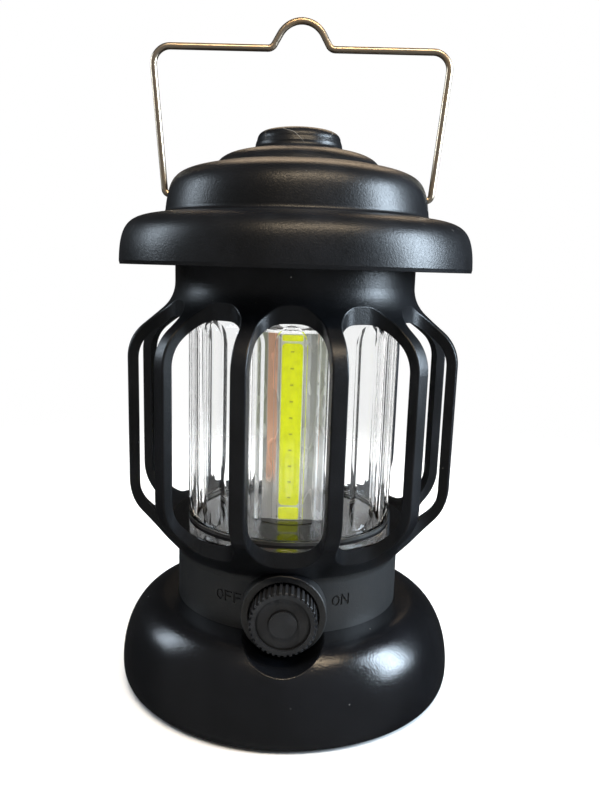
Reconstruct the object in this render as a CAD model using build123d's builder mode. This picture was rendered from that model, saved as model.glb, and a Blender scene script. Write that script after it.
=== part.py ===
from build123d import *
import os
from math import cos, degrees, radians, sin, sqrt, tan

# Camping lantern with a barred cage, a clear lamp cover, a side dimmer knob and a wire bail.
# Millimetres. +Z is up, the floor is z = 0 and the lamp's axis is the Z axis.
# The knob is at the front, towards -Y, and the bail turns about a line along X.

# ---------------------------------------------------------------- driving dimensions

# Heights, from the floor upwards
foot_proud = 0.8
base_height = 24.8
lower_neck_height = 14.6
lower_slope_height = 15.3
belly_height = 44.8
upper_slope_height = 10.6
upper_neck_height = 8.5
brim_height = 13.3
tier_height = 13.3
crown_height = 4.0
finial_height = 5.4

# Radii and walls of the cage
belly_radius = 46.0
lower_neck_radius = 32.2
upper_neck_radius = 33.0
cage_wall = 2.75
neck_wall = 2.5
lower_neck_blend = 3.0
lower_belly_blend = 13.0
upper_belly_blend = 11.6
upper_neck_blend = 9.0
inner_corner_blend = 0.6

# Windows between the bars
window_count = 12
bar_width = 4.0
window_corner = 6.5
upper_window_step = 1.15
lower_window_step = 4.85
window_edge_round = 0.45
edge_round = 0.35

# Roof
brim_overhang = 1.9
roof_wall = 2.0
tier_radius = 35.5
crown_radius = 22.0
finial_radius = 11.6
finial_top_radius = 6.5
step_blend = 1.6
brim_foot_rise = 0.9
brim_edge_round = 0.2
cavity_step = 1.2
cavity_step_in = 3.5
cavity_step_run = 2.0
finial_foot_flare = 1.2
finial_foot_rise = 1.6
finial_taper = 0.4
finial_shoulder = 2.7

# Roof curves between those places: each pair is how far in and how far up a control point lies
brim_shoulder = ((0.3, -2.4), (2.9, -0.7))
tier_shoulder = ((1.2, -2.9), (2.5, -2.0))
crown_slope = ((1.4, -1.3), (5.5, -0.6))
finial_foot = (0.0, 0.15)
finial_round = ((0.6, -0.8), (2.4, -0.2))

# Liner under the brim
liner_thickness = 1.6
liner_recess = 1.2

# Base
base_overhang = 2.6
rim_tuck = 1.8
rim_wall = 1.8
waist_height = 4.8
dome_crown_radius = 36.0
dome_wall = 2.2
base_plate_thickness = 2.0
base_plate_recess = 0.3
foot_radius = 4.0
foot_thickness = 1.1
foot_across = 33.52
foot_along = 21.8

# Knob and dimmer
knob_rise = 6.6
knob_radius = 8.7
knob_teeth = 36
knob_tooth_depth = 0.65
knob_edge_round = 0.3
knob_groove_width = 0.85
knob_groove_round = 0.2
knob_length = 7.4
knob_side_gap = 0.6
knob_dish_depth = 0.8
knob_dish_radius = 7.0
knob_button_radius = 3.6
boss_ring_width = 1.8
boss_proud = 3.8
boss_floor_proud = 1.0
shaft_radius = 3.0
shaft_flat = 1.9
bushing_wall = 0.6
dimmer_radius = 8.0
dimmer_depth = 7.0
nut_flats = 10.0
nut_thickness = 1.8
notch_gap = 1.4
notch_round = 0.5
label_height = 3.0
label_width = 2.1
label_gap = 0.7
label_stroke = 0.45
label_depth = 0.35
label_angle = 27.4
label_rise = 1.9

# Lamp
chimney_radius = 29.3
chimney_wall = 2.0
chimney_edge_round = 0.7
flute_count = 16
flute_depth = 0.8
flute_round = 14.7
flute_foot_margin = 1.3
flute_head_margin = 7.1
tube_radius = 11.9
tube_wall = 1.0
tube_height = 54.6
deck_thickness = 1.6
deck_skirt_depth = 6.4
gasket_thickness = 0.8
deck_rise = 8.6
deck_radius = 34.4
column_face_distance = 5.6
column_tip_radius = 10.4
column_wall = 1.0
column_height = 53.4
board_width = 7.0
board_length = 53.2
board_thickness = 0.8
phosphor_width = 6.0
phosphor_length = 46.2
phosphor_thickness = 0.5
phosphor_rise = 4.4
phosphor_dam = 0.7
phosphor_margin = 0.25
phosphor_corner = 1.2
phosphor_end_corner = 0.5

# Bail
wire_radius = 0.88
pivot_rise = 5.6
bail_height = 37.3
leg_flare = 3.3
leg_stand_off = 1.4
bail_corner = 4.5
pivot_bend = 1.4
hook_root = 7.7
hook_round = 6.6
hook_blend = 2.0
hook_side_angle = 60.0

# Batteries, AA size
cell_radius = 7.25
cell_length = 49.2
nub_radius = 2.75
nub_length = 1.3
cell_count = 3
cell_gap = 0.2
contact_room = 3.6
contact_thickness = 0.4
tray_wall = 1.8
door_thickness = 1.8
hinge_radius = 1.5
hinge_pin_radius = 0.8
lug_length = 3.0

# Fasteners
screw_radius = 1.3
screw_head_radius = 2.5
screw_head_height = 1.6
post_radius = 3.2
post_angle = 31.0
screw_grip = 6.0
flange_thickness = 3.4

# Clearances
running_gap = 0.06
seat_gap = 0.1
thread_gap = 0.05
fit_gap = 0.2
moving_gap = 0.35
hole_gap = 0.3

# ---------------------------------------------------------------- places worked out from them

rim_z = foot_proud
base_top_z = rim_z + base_height
slope_foot_z = base_top_z + lower_neck_height
belly_low_z = slope_foot_z + lower_slope_height
belly_high_z = belly_low_z + belly_height
slope_head_z = belly_high_z + upper_slope_height
brim_z = slope_head_z + upper_neck_height
tier_z = brim_z + brim_height
crown_z = tier_z + tier_height
finial_z = crown_z + crown_height
top_z = finial_z + finial_height
belly_middle_z = (belly_low_z + belly_high_z) / 2

base_radius = belly_radius + base_overhang
brim_radius = belly_radius + brim_overhang
knob_z = base_top_z + knob_rise
knob_axis_plane = Plane(origin=(0, 0, knob_z), x_dir=(1, 0, 0), z_dir=(0, -1, 0))

neck_bore_radius = lower_neck_radius - neck_wall
upper_bore_radius = upper_neck_radius - neck_wall
boss_inner_radius = knob_radius + knob_side_gap
boss_radius = boss_inner_radius + boss_ring_width
notch_radius = boss_radius + notch_gap
boss_front = lower_neck_radius + boss_proud
boss_floor = lower_neck_radius + boss_floor_proud
bushing_radius = shaft_radius + running_gap + bushing_wall

bay_length = cell_length + nub_length + 2 * contact_room
bay_width = cell_count * (2 * cell_radius + cell_gap) + cell_gap
plate_low_z = rim_z + base_plate_recess
plate_top_z = plate_low_z + base_plate_thickness
door_top_z = plate_low_z + door_thickness
cell_z = door_top_z + fit_gap + cell_radius
tray_roof_z = cell_z + cell_radius + fit_gap
tray_low_z = plate_low_z + 2 * hinge_radius + 1.0
neck_foot_z = tray_roof_z + seat_gap
plate_radius = base_radius - rim_tuck - rim_wall - seat_gap

deck_z = slope_foot_z + deck_rise
flange_low_z = brim_z - flange_thickness
flange_top_z = brim_z


def ring_points(radius, angles):
    """Plan positions on a circle about the lamp's axis."""
    return [(radius * cos(radians(angle)), radius * sin(radians(angle))) for angle in angles]


# ---------------------------------------------------------------- cage

lower_slope = (belly_low_z - slope_foot_z) / (belly_radius - lower_neck_radius)
upper_slope = (slope_head_z - belly_high_z) / (belly_radius - upper_neck_radius)


def lower_inner_z(radius):
    """Height of the lower slope's inner face at a radius."""
    rise = (radius - lower_neck_radius) * lower_slope
    return slope_foot_z + rise + cage_wall * sqrt(1 + lower_slope**2)


def upper_inner_z(radius):
    """Height of the upper slope's inner face at a radius."""
    drop = (radius - upper_neck_radius) * upper_slope
    return slope_head_z - drop - cage_wall * sqrt(1 + upper_slope**2)


belly_bore_radius = belly_radius - cage_wall
bar_half_angle = 180 / window_count
upper_window_radius = upper_neck_radius + upper_window_step
lower_window_radius = lower_neck_radius + lower_window_step
window_reach = brim_radius + 5.0


def window_half_width(distance):
    """Half the window's width, at a distance from the lamp's axis."""
    return distance * tan(radians(bar_half_angle)) - bar_width / 2 / cos(radians(bar_half_angle))


def window_outline(inner_radius):
    """Plan of one window: parallel to its two bars, with a rounded flat inner end."""
    with BuildSketch() as outline:
        Polygon(
            (inner_radius, -window_half_width(inner_radius)),
            (window_reach, -window_half_width(window_reach)),
            (window_reach, window_half_width(window_reach)),
            (inner_radius, window_half_width(inner_radius)),
            align=None,
        )
        fillet(outline.vertices().group_by(Axis.X)[0], window_corner)
    return outline.sketch


def letter(strokes):
    """Sketch of a letter from straight strokes, each given by its two ends."""
    with BuildSketch() as drawn:
        for start, end in strokes:
            with BuildLine():
                Line(start, end)
            trace(line_width=label_stroke)
    return drawn.sketch


half_letter = label_height / 2
letter_left = -label_width / 2
letter_right = label_width / 2
letter_f = [
    ((letter_left, -half_letter), (letter_left, half_letter)),
    ((letter_left, half_letter - label_stroke / 2), (letter_right, half_letter - label_stroke / 2)),
    ((letter_left, 0), (letter_right * 0.7, 0)),
]
letter_n = [
    ((letter_left, -half_letter), (letter_left, half_letter)),
    ((letter_left, half_letter), (letter_right, -half_letter)),
    ((letter_right, -half_letter), (letter_right, half_letter)),
]
letter_pitch = label_width + label_gap


def neck_plane(angle):
    """Plane inside the lower neck that faces outwards at an angle from the front, at the knob's height."""
    facing = Vector(sin(radians(angle)), -cos(radians(angle)), 0)
    sideways = Vector(cos(radians(angle)), sin(radians(angle)), 0)
    start = lower_neck_radius - 2 * neck_wall / 3
    return Plane(origin=facing * start + Vector(0, 0, knob_z + label_rise), x_dir=sideways, z_dir=facing)


def letter_angle(place):
    """Angle that one letter pitch takes on the neck, times a place in the word."""
    return degrees(place * letter_pitch / lower_neck_radius)


with BuildPart() as label_letters:
    for angle, strokes in (
        (-label_angle - letter_angle(1), None),
        (-label_angle, letter_f),
        (-label_angle + letter_angle(1), letter_f),
        (label_angle - letter_angle(0.5), None),
        (label_angle + letter_angle(0.5), letter_n),
    ):
        with BuildSketch(neck_plane(angle)):
            if strokes:
                add(letter(strokes))
            else:
                Ellipse(label_width / 2 + label_stroke / 4, half_letter)
                Ellipse(
                    label_width / 2 - 3 * label_stroke / 4,
                    half_letter - label_stroke,
                    mode=Mode.SUBTRACT,
                )
        extrude(amount=2 * neck_wall)
    with BuildSketch(Plane.XY.offset(knob_z - label_height)):
        Circle(lower_neck_radius + neck_wall)
        Circle(lower_neck_radius - label_depth, mode=Mode.SUBTRACT)
    extrude(amount=3 * label_height, mode=Mode.INTERSECT)

with BuildPart() as cage_bore:
    with BuildSketch(Plane.XZ):
        with BuildLine():
            FilletPolyline(
                (neck_bore_radius, neck_foot_z - 1),
                (neck_bore_radius, lower_inner_z(neck_bore_radius)),
                (belly_bore_radius, lower_inner_z(belly_bore_radius)),
                (belly_bore_radius, upper_inner_z(belly_bore_radius)),
                (upper_bore_radius, upper_inner_z(upper_bore_radius)),
                (upper_bore_radius, flange_low_z),
                radius=(
                    inner_corner_blend,
                    lower_belly_blend - cage_wall,
                    upper_belly_blend - cage_wall,
                    inner_corner_blend,
                ),
            )
            Polyline(
                (upper_bore_radius, flange_low_z),
                (0, flange_low_z),
                (0, neck_foot_z - 1),
                (neck_bore_radius, neck_foot_z - 1),
            )
        make_face()
    revolve(axis=Axis.Z)

roof_screw_radius = upper_bore_radius - post_radius - 0.8
roof_screw_points = ring_points(roof_screw_radius, (90, 210, 330))
flange_bore_radius = roof_screw_radius - post_radius

with BuildPart() as cage:
    with BuildSketch(Plane.XZ):
        with BuildLine():
            FilletPolyline(
                (lower_neck_radius, neck_foot_z),
                (lower_neck_radius, slope_foot_z),
                (belly_radius, belly_low_z),
                (belly_radius, belly_high_z),
                (upper_neck_radius, slope_head_z),
                (upper_neck_radius, brim_z + liner_recess + liner_thickness),
                radius=(
                    lower_neck_blend,
                    lower_belly_blend,
                    upper_belly_blend,
                    upper_neck_blend,
                ),
            )
            Polyline(
                (upper_neck_radius, brim_z + liner_recess + liner_thickness),
                (0, brim_z + liner_recess + liner_thickness),
                (0, neck_foot_z),
                (lower_neck_radius, neck_foot_z),
            )
        make_face()
    revolve(axis=Axis.Z)
    with BuildSketch(knob_axis_plane):
        Circle(boss_radius)
    extrude(amount=boss_front)
    fillet(cage.faces().sort_by(Axis.Y)[0].edges(), edge_round)
    add(cage_bore.part, mode=Mode.SUBTRACT)
    with BuildSketch(Plane.XY.offset(flange_low_z)):
        Circle(flange_bore_radius)
    extrude(amount=flange_thickness * 3, mode=Mode.SUBTRACT)
    with BuildSketch(Plane.XY.offset(flange_top_z)):
        Circle(upper_bore_radius)
    extrude(amount=flange_thickness * 3, mode=Mode.SUBTRACT)
    for inner_radius, direction in ((upper_window_radius, 1), (lower_window_radius, -1)):
        with BuildSketch(Plane.XY.offset(belly_middle_z)):
            with PolarLocations(0, window_count, start_angle=-90):
                add(window_outline(inner_radius))
        extrude(amount=direction * (brim_z - belly_middle_z), mode=Mode.SUBTRACT)
    outer_bar_edges = cage.edges().filter_by(Axis.Z).filter_by(
        lambda edge: Vector((edge @ 0.5).X, (edge @ 0.5).Y).length > belly_radius - running_gap
    )
    fillet(outer_bar_edges, window_edge_round)
    with BuildSketch(knob_axis_plane.offset(boss_floor)):
        Circle(boss_inner_radius)
    extrude(amount=boss_front, mode=Mode.SUBTRACT)
    with BuildSketch(knob_axis_plane.offset(neck_bore_radius / 2)):
        Circle(bushing_radius + fit_gap)
    extrude(amount=boss_front, mode=Mode.SUBTRACT)
    add(label_letters.part, mode=Mode.SUBTRACT)
    with BuildSketch(Plane.XY.offset(flange_low_z)):
        with Locations(*roof_screw_points):
            Circle(screw_radius + hole_gap)
    extrude(amount=flange_thickness, mode=Mode.SUBTRACT)
    with BuildSketch(Plane.XY.offset(flange_low_z)):
        with Locations(*roof_screw_points):
            Circle(screw_head_radius + hole_gap)
    extrude(amount=screw_head_height + seat_gap, mode=Mode.SUBTRACT)
cage.part.label = "cage"
export_step(cage.part, "parts/cage.step")

# ---------------------------------------------------------------- base

rim_radius = base_radius - rim_tuck
rim_bore_radius = rim_radius - rim_wall
waist_z = rim_z + waist_height
neck_hole_radius = lower_neck_radius + seat_gap
post_ring_radius = (neck_hole_radius + rim_bore_radius) / 2
base_screw_points = ring_points(
    post_ring_radius, (90 - post_angle, 90 + post_angle, 270 - post_angle, 270 + post_angle)
)

with BuildPart() as base_cavity:
    with BuildSketch(Plane.XZ):
        with BuildLine():
            Polyline(
                (dome_crown_radius, base_top_z - dome_wall),
                (0, base_top_z - dome_wall),
                (0, rim_z - 1),
                (rim_bore_radius, rim_z - 1),
                (rim_bore_radius, waist_z),
            )
            EllipticalCenterArc(
                (dome_crown_radius, waist_z),
                rim_bore_radius - dome_crown_radius,
                base_top_z - dome_wall - waist_z,
                0,
                arc_size=90,
            )
        make_face()
    revolve(axis=Axis.Z)
    with BuildSketch(knob_axis_plane):
        Circle(notch_radius + dome_wall)
    extrude(amount=base_radius, mode=Mode.SUBTRACT)
    with BuildSketch(Plane.XY.offset(plate_top_z)):
        with Locations(*base_screw_points):
            Circle(post_radius)
    extrude(amount=base_height, mode=Mode.SUBTRACT)
    with BuildSketch(Plane.XY.offset(rim_z - 1)):
        Circle(neck_hole_radius)
    extrude(amount=base_height + 2)

with BuildPart() as base_shell:
    with BuildSketch(Plane.XZ):
        with BuildLine():
            Polyline(
                (dome_crown_radius, base_top_z),
                (0, base_top_z),
                (0, rim_z),
                (rim_radius, rim_z),
            )
            EllipticalCenterArc((rim_radius, waist_z), rim_tuck, waist_height, -90, arc_size=90)
            EllipticalCenterArc(
                (dome_crown_radius, waist_z),
                base_radius - dome_crown_radius,
                base_top_z - waist_z,
                0,
                arc_size=90,
            )
        make_face()
    revolve(axis=Axis.Z)
    add(base_cavity.part, mode=Mode.SUBTRACT)
    with BuildSketch(knob_axis_plane):
        Circle(notch_radius)
    extrude(amount=base_radius + 1, mode=Mode.SUBTRACT)
    fillet(base_shell.edges(Select.LAST).sort_by(Axis.Y)[0], notch_round)
    with BuildSketch(Plane.XY.offset(plate_top_z)):
        with Locations(*base_screw_points):
            Circle(screw_radius + thread_gap)
    extrude(amount=screw_grip + 1, mode=Mode.SUBTRACT)
base_shell.part.label = "base_shell"
export_step(base_shell.part, "parts/base_shell.step")

# Battery door, hinged along its rear edge on the underside
door_half_length = bay_length / 2 - 0.9
door_half_width = bay_width / 2 + 1.0
hinge_z = plate_low_z + hinge_radius
door_tab_length = 2.4
door_tab_width = 14.0
opening_half_length = door_half_length + moving_gap
opening_front = -door_half_width - moving_gap
opening_back = door_half_width + hinge_radius + moving_gap
lug_half_width = hinge_pin_radius + 1.2
foot_points = [(x * foot_across, y * foot_along) for x in (-1, 1) for y in (-1, 1)]

with BuildPart() as base_plate:
    with BuildSketch(Plane.XY.offset(plate_low_z)):
        Circle(plate_radius)
        with Locations((0, (opening_front + opening_back) / 2)):
            Rectangle(2 * opening_half_length, opening_back - opening_front, mode=Mode.SUBTRACT)
        with Locations((0, opening_front)):
            Rectangle(door_tab_width + 3, 4 * door_tab_length, mode=Mode.SUBTRACT)
        with Locations(*base_screw_points):
            Circle(screw_radius + hole_gap, mode=Mode.SUBTRACT)
    extrude(amount=base_plate_thickness)
    with BuildSketch(Plane.XY.offset(plate_low_z)):
        with Locations(*base_screw_points):
            Circle(screw_head_radius + hole_gap)
    extrude(amount=base_plate_thickness / 2, mode=Mode.SUBTRACT)
    lug_middle = opening_half_length + lug_length / 2
    with BuildSketch(Plane.XY.offset(plate_low_z)):
        with Locations((-lug_middle, door_half_width), (lug_middle, door_half_width)):
            Rectangle(lug_length, 2 * lug_half_width)
    extrude(amount=hinge_radius + lug_half_width)
    with BuildSketch(Plane.YZ.offset(-lug_middle - lug_length)):
        with Locations((door_half_width, hinge_z)):
            Circle(hinge_pin_radius + running_gap)
    extrude(amount=2 * (lug_middle + lug_length), mode=Mode.SUBTRACT)
base_plate.part.label = "base_plate"
export_step(base_plate.part, "parts/base_plate.step")

with BuildPart() as battery_door:
    with BuildSketch(Plane.XY.offset(plate_low_z)):
        Rectangle(2 * door_half_length, 2 * door_half_width)
        with Locations((0, -door_half_width)):
            Rectangle(door_tab_width, 2 * door_tab_length)
    extrude(amount=door_thickness)
    with BuildSketch(Plane.XY.offset(plate_low_z)):
        with Locations((0, 6 - door_half_width)):
            with GridLocations(0, 2.0, 1, 4):
                SlotOverall(door_tab_width, 0.9)
    extrude(amount=door_thickness / 3, mode=Mode.SUBTRACT)
    with BuildSketch(Plane.YZ.offset(-door_half_length)):
        with Locations((door_half_width, hinge_z)):
            Circle(hinge_radius)
    extrude(amount=2 * door_half_length)
    pin_reach = opening_half_length + lug_length - 0.5
    with BuildSketch(Plane.YZ.offset(-pin_reach)):
        with Locations((door_half_width, hinge_z)):
            Circle(hinge_pin_radius)
    extrude(amount=2 * pin_reach)
battery_door.part.label = "battery_door"
export_step(battery_door.part, "parts/battery_door.step")

with BuildPart() as base_screws:
    with BuildSketch(Plane.XY.offset(plate_low_z + seat_gap)):
        with Locations(*base_screw_points):
            Circle(screw_head_radius)
    extrude(amount=base_plate_thickness / 2 - seat_gap)
    with BuildSketch(Plane.XY.offset(plate_low_z + base_plate_thickness / 2)):
        with Locations(*base_screw_points):
            Circle(screw_radius)
    extrude(amount=base_plate_thickness / 2 + screw_grip)
    with BuildSketch(Plane.XY.offset(plate_low_z + seat_gap)):
        with Locations(*base_screw_points):
            Rectangle(2.6, 0.6)
            Rectangle(0.6, 2.6)
    extrude(amount=0.5, mode=Mode.SUBTRACT)
base_screws.part.label = "base_screws"
export_step(base_screws.part, "parts/base_screws.step")

with BuildPart() as foot_pads:
    with BuildSketch():
        with Locations(*foot_points):
            Circle(foot_radius)
    extrude(amount=foot_thickness)
    chamfer(foot_pads.edges().group_by(Axis.Z)[0], 0.3)
foot_pads.part.label = "foot_pads"
export_step(foot_pads.part, "parts/foot_pads.step")

# ---------------------------------------------------------------- batteries and their tray

tray_half_length = bay_length / 2 + tray_wall
tray_half_width = bay_width / 2 + tray_wall
tray_foot_width = 2 * door_half_width - 2 * lug_half_width - 2.0
tray_roof_thickness = 1.8
lead_points = [(-6.0, 14.0), (6.0, 14.0)]

with BuildPart() as battery_tray:
    with BuildSketch(Plane.XY.offset(tray_low_z)):
        Rectangle(2 * tray_half_length, 2 * tray_half_width)
        Rectangle(bay_length, bay_width, mode=Mode.SUBTRACT)
    extrude(amount=tray_roof_z - tray_low_z)
    with BuildSketch(Plane.XY.offset(plate_top_z)):
        Rectangle(2 * tray_half_length, tray_foot_width)
        Rectangle(bay_length, tray_foot_width, mode=Mode.SUBTRACT)
    extrude(amount=tray_low_z - plate_top_z)
    with BuildSketch(Plane.XY.offset(tray_roof_z)):
        Circle(neck_bore_radius - seat_gap)
        Rectangle(2 * tray_half_length, 2 * tray_half_width, mode=Mode.INTERSECT)
    extrude(amount=tray_roof_thickness)
battery_tray.part.label = "battery_tray"
export_step(battery_tray.part, "parts/battery_tray.step")

cell_rows = [(row - (cell_count - 1) / 2) * (2 * cell_radius + cell_gap) for row in range(cell_count)]
nub_end = bay_length / 2 - contact_thickness
shoulder = nub_end - nub_length
cell_foot = shoulder - cell_length

for number, row in enumerate(cell_rows, start=1):
    facing = 1 if number % 2 else -1
    with BuildPart() as battery_cell:
        with BuildSketch(Plane.YZ.offset(facing * cell_foot)):
            with Locations((row, cell_z)):
                Circle(cell_radius)
        extrude(amount=facing * cell_length)
        chamfer(battery_cell.edges(), 0.5)
        with BuildSketch(Plane.YZ.offset(facing * shoulder)):
            with Locations((row, cell_z)):
                Circle(nub_radius)
        extrude(amount=facing * nub_length)
    battery_cell.part.label = f"battery_cell_{number}"
    export_step(battery_cell.part, f"parts/battery_cell_{number}.step")

contact_height = 10.0
contact_width = 7.0

with BuildPart() as contact_plates:
    for number, row in enumerate(cell_rows):
        facing = -1 if number % 2 else 1
        with BuildSketch(Plane.YZ.offset(facing * nub_end)):
            with Locations((row, cell_z)):
                RectangleRounded(contact_width, contact_height, 1.0)
        extrude(amount=facing * contact_thickness)
contact_plates.part.label = "contact_plates"
export_step(contact_plates.part, "parts/contact_plates.step")

with BuildPart() as contact_springs:
    for number, row in enumerate(cell_rows):
        facing = -1 if number % 2 else 1
        wall = -facing * bay_length / 2
        crest = facing * cell_foot
        inner_crest = crest - facing * contact_thickness
        low_z = cell_z - contact_height / 2
        high_z = cell_z + contact_height / 2
        with BuildSketch(Plane.XZ.offset(-row - contact_width / 2)):
            with BuildLine():
                ThreePointArc((wall, low_z), (crest, cell_z), (wall, high_z))
                Line((wall, high_z), (wall, high_z - contact_thickness))
                ThreePointArc(
                    (wall, high_z - contact_thickness),
                    (inner_crest, cell_z),
                    (wall, low_z + contact_thickness),
                )
                Line((wall, low_z + contact_thickness), (wall, low_z))
            make_face()
        extrude(amount=contact_width)
contact_springs.part.label = "contact_springs"
export_step(contact_springs.part, "parts/contact_springs.step")

# ---------------------------------------------------------------- roof

pivot_z = tier_z + pivot_rise
brim_bore_radius = brim_radius - roof_wall


def brim_curve(inset):
    """Control points of the brim's rounded shoulder, set in by a wall."""
    return (
        (brim_radius - inset, brim_z + brim_foot_rise),
        *((brim_radius - inwards - inset, tier_z + up - inset) for inwards, up in brim_shoulder),
        (tier_radius + step_blend - inset, tier_z - inset),
    )


def tier_curve(inset):
    """Control points of the tier's steep wall and rounded top, set in by a wall."""
    return (
        (tier_radius - inset, tier_z + step_blend),
        *((tier_radius - inwards - inset, crown_z + up - inset) for inwards, up in tier_shoulder),
        (crown_radius, crown_z - inset),
    )


with BuildPart() as roof_cavity:
    with BuildSketch(Plane.XZ):
        with BuildLine():
            Polyline((0, brim_z - 1), (brim_bore_radius, brim_z - 1), brim_curve(roof_wall)[0])
            Bezier(*brim_curve(roof_wall))
            Line(brim_curve(roof_wall)[-1], tier_curve(roof_wall)[0])
            Bezier(*tier_curve(roof_wall))
            Polyline(
                tier_curve(roof_wall)[-1],
                (crown_radius - cavity_step_in, crown_z - roof_wall),
                (crown_radius - cavity_step_in - cavity_step_run, crown_z + cavity_step),
                (0, crown_z + cavity_step),
                (0, brim_z - 1),
            )
        make_face()
    revolve(axis=Axis.Z)
    with BuildSketch(Plane.XY.offset(flange_top_z)):
        with Locations(*roof_screw_points):
            Circle(post_radius)
    extrude(amount=top_z - flange_top_z, mode=Mode.SUBTRACT)

with BuildPart() as roof_cap:
    with BuildSketch(Plane.XZ):
        with BuildLine():
            Polyline((0, brim_z), (brim_radius - brim_edge_round, brim_z), brim_curve(0)[0])
            Bezier(*brim_curve(0))
            Bezier(brim_curve(0)[-1], (tier_radius, tier_z), tier_curve(0)[0])
            Bezier(*tier_curve(0))
            Bezier(
                (crown_radius, crown_z),
                *((crown_radius - inwards, finial_z + up) for inwards, up in crown_slope),
                (finial_radius + finial_foot_flare, finial_z),
            )
            Bezier(
                (finial_radius + finial_foot_flare, finial_z),
                (finial_radius - finial_foot[0], finial_z + finial_foot[1]),
                (finial_radius, finial_z + finial_foot_rise),
            )
            Line(
                (finial_radius, finial_z + finial_foot_rise),
                (finial_radius - finial_taper, top_z - finial_shoulder),
            )
            Bezier(
                (finial_radius - finial_taper, top_z - finial_shoulder),
                *((finial_radius - inwards, top_z + up) for inwards, up in finial_round),
                (finial_top_radius, top_z),
            )
            Polyline((finial_top_radius, top_z), (0, top_z), (0, brim_z))
        make_face()
    revolve(axis=Axis.Z)
    add(roof_cavity.part, mode=Mode.SUBTRACT)
    with BuildSketch(Plane.YZ.offset(-brim_radius)):
        with Locations((0, pivot_z)):
            Circle(wire_radius + running_gap)
    extrude(amount=2 * brim_radius, mode=Mode.SUBTRACT)
    with BuildSketch(Plane.XY.offset(flange_top_z)):
        with Locations(*roof_screw_points):
            Circle(screw_radius + thread_gap)
    extrude(amount=screw_grip + 1, mode=Mode.SUBTRACT)
roof_cap.part.label = "roof_cap"
export_step(roof_cap.part, "parts/roof_cap.step")

with BuildPart() as roof_liner:
    with BuildSketch(Plane.XY.offset(brim_z + liner_recess)):
        Circle(brim_bore_radius - fit_gap)
        Circle(upper_neck_radius + seat_gap, mode=Mode.SUBTRACT)
    extrude(amount=liner_thickness)
roof_liner.part.label = "roof_liner"
export_step(roof_liner.part, "parts/roof_liner.step")

with BuildPart() as roof_screws:
    with BuildSketch(Plane.XY.offset(flange_low_z)):
        with Locations(*roof_screw_points):
            Circle(screw_head_radius)
    extrude(amount=screw_head_height)
    with BuildSketch(Plane.XY.offset(flange_low_z + screw_head_height)):
        with Locations(*roof_screw_points):
            Circle(screw_radius)
    extrude(amount=flange_thickness - screw_head_height + screw_grip)
roof_screws.part.label = "roof_screws"
export_step(roof_screws.part, "parts/roof_screws.step")

# ---------------------------------------------------------------- bail

leg_foot = tier_radius - 0.8 + leg_stand_off
leg_head = leg_foot + leg_flare
bail_top_z = pivot_z + bail_height
hook_peak_z = bail_top_z + hook_root * tan(radians(hook_side_angle))
wire_end = tier_radius - roof_wall - 2.5

with BuildPart() as bail:
    with BuildLine(Plane.XZ) as bail_line:
        FilletPolyline(
            (wire_end, pivot_z),
            (leg_foot, pivot_z),
            (leg_head, bail_top_z),
            (hook_root, bail_top_z),
            (0, hook_peak_z),
            (-hook_root, bail_top_z),
            (-leg_head, bail_top_z),
            (-leg_foot, pivot_z),
            (-wire_end, pivot_z),
            radius=(
                pivot_bend,
                bail_corner,
                hook_blend,
                hook_round,
                hook_blend,
                bail_corner,
                pivot_bend,
            ),
        )
    with BuildSketch(Plane.YZ.offset(wire_end)):
        with Locations((0, pivot_z)):
            Circle(wire_radius)
    sweep(path=bail_line.line)
bail.part.label = "bail"
export_step(bail.part, "parts/bail.step")

# ---------------------------------------------------------------- lamp

deck_low_z = deck_z - deck_thickness
skirt_radius = neck_bore_radius - seat_gap
skirt_wall = 1.6
pin_points = [(-2.0, 1.0), (2.0, 1.0)]
pin_radius = 0.5

with BuildPart() as lamp_deck:
    with BuildSketch(Plane.XY.offset(deck_low_z)):
        Circle(deck_radius)
    extrude(amount=deck_thickness)
    fillet(lamp_deck.edges().group_by(Axis.Z)[-1], 0.5)
    with BuildSketch(Plane.XY.offset(deck_low_z - deck_skirt_depth)):
        Circle(skirt_radius)
        Circle(skirt_radius - skirt_wall, mode=Mode.SUBTRACT)
    extrude(amount=deck_skirt_depth)
    with BuildSketch(Plane.XY.offset(deck_low_z)):
        with Locations(*pin_points):
            Circle(pin_radius + hole_gap)
    extrude(amount=deck_thickness, mode=Mode.SUBTRACT)
lamp_deck.part.label = "lamp_deck"
export_step(lamp_deck.part, "parts/lamp_deck.step")

chimney_low_z = deck_z + gasket_thickness
chimney_top_z = upper_inner_z(upper_bore_radius) + 3.0
flute_end = sqrt(flute_round**2 - (flute_round - flute_depth) ** 2)
flute_low_z = chimney_low_z + flute_foot_margin + flute_end
flute_high_z = chimney_top_z - flute_head_margin - flute_end

flute_axis_radius = chimney_radius + flute_round - flute_depth
flute_middle_z = (flute_low_z + flute_high_z) / 2
flute_round_inside = flute_round + chimney_wall

with BuildPart() as chimney_bore:
    with BuildSketch(Plane.XY.offset(chimney_low_z)):
        Circle(chimney_radius - chimney_wall)
    extrude(amount=chimney_top_z - chimney_low_z)
    with PolarLocations(flute_axis_radius, flute_count, start_angle=-90):
        with Locations((0, 0, flute_middle_z)):
            Cylinder(flute_round_inside, flute_high_z - flute_low_z, mode=Mode.SUBTRACT)
        with Locations((0, 0, flute_low_z), (0, 0, flute_high_z)):
            Sphere(flute_round_inside, mode=Mode.SUBTRACT)

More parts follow.
